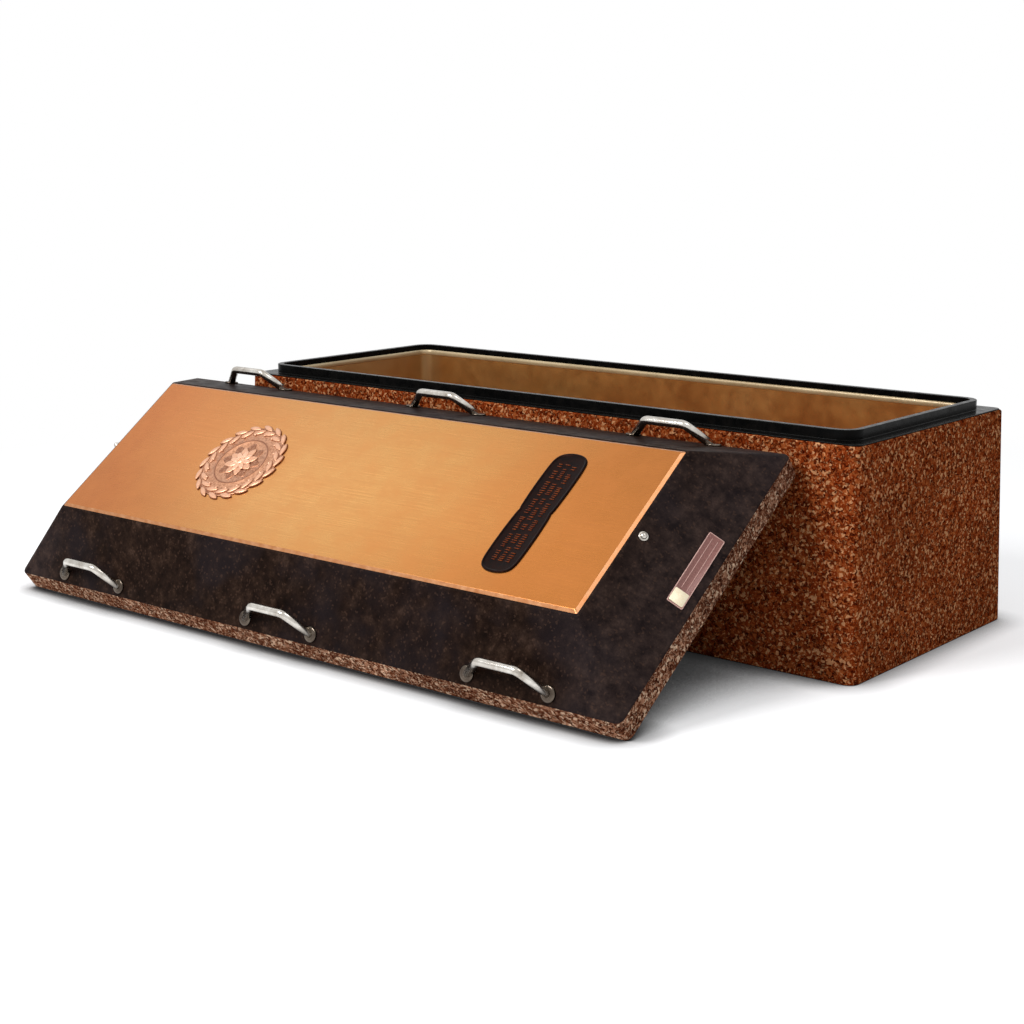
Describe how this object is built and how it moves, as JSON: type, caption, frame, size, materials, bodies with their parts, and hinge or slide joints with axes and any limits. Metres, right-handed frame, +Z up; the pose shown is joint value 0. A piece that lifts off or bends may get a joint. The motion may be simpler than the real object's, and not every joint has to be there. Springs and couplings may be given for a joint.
{
  "type": "burial vault",
  "caption": "Stone-finished burial vault box with a metal liner and black sealing rim, and its domed lid with a copper cover and lifting handles leaning on its long side.",
  "frame": {"origin": "centre of the box's underside", "axes": "+X along the box towards the end whose lid slope has the label plate, +Y from the leaning lid towards the box, +Z up"},
  "size_m": [2.533, 1.6904, 0.6636],
  "materials": {
    "stone": "matte",
    "lid_stone": "satin",
    "black_rim": "satin",
    "bronze_liner": "satin",
    "copper_cover": "satin",
    "medallion_copper": "satin",
    "dark_bronze": "satin",
    "label": "satin",
    "handle_metal": "polished",
    "stud_metal": "polished"
  },
  "bodies": {
    "root": {"vault_box": "stone", "sealing_rim": "black_rim", "box_liner": "bronze_liner", "lid_slab": "lid_stone", "cover_sheet": "copper_cover", "medallion": "medallion_copper", "name_plate": "dark_bronze", "label_plate": "label", "stud_right": "stud_metal", "stud_left": "stud_metal", "handle_front_left": "handle_metal", "handle_front_middle": "handle_metal", "handle_front_right": "handle_metal", "handle_back_left": "handle_metal", "handle_back_middle": "handle_metal", "handle_back_right": "handle_metal"}
  },
  "joints": []
}
